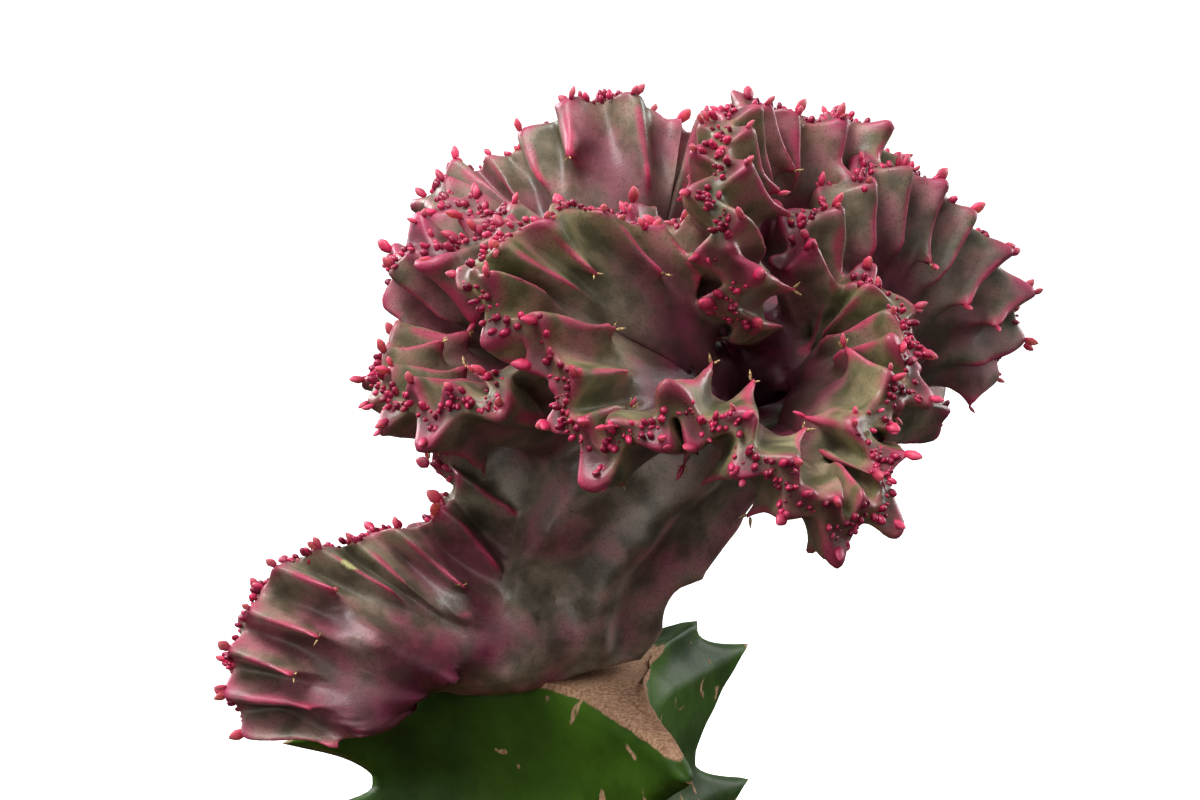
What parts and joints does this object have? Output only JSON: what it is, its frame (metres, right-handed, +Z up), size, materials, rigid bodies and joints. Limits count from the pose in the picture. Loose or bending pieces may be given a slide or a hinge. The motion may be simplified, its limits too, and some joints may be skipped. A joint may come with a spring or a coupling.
{
  "type": "potted crested elkhorn",
  "caption": "Fan-folded crested succulent grafted on a winged green stem, standing in a plain round clay pot.",
  "frame": {"origin": "middle of the pot's flat underside", "axes": "+Z up along the stem, -Y towards the crest's broad front face, +X to its right"},
  "size_m": [0.1372, 0.132, 0.2621],
  "materials": {
    "pot": "matt unglazed clay",
    "soil": "rough crumbled bark and peat",
    "rootstock": "waxy dark green skin with dried tan edges",
    "crest": "waxy grey green skin flushed with mauve",
    "growth_line": "soft magenta growth with pink leaflets"
  },
  "bodies": {
    "root": {"pot": "pot", "soil": "soil", "rootstock": "rootstock", "crest": "crest", "growth_line_lower_left": "growth_line", "growth_line_left": "growth_line", "growth_line_front": "growth_line", "growth_line_right": "growth_line", "growth_line_crown": "growth_line", "growth_line_inner": "growth_line", "growth_line_upper_left": "growth_line", "growth_line_back_crown": "growth_line", "growth_line_back_skirt": "growth_line"}
  },
  "joints": []
}
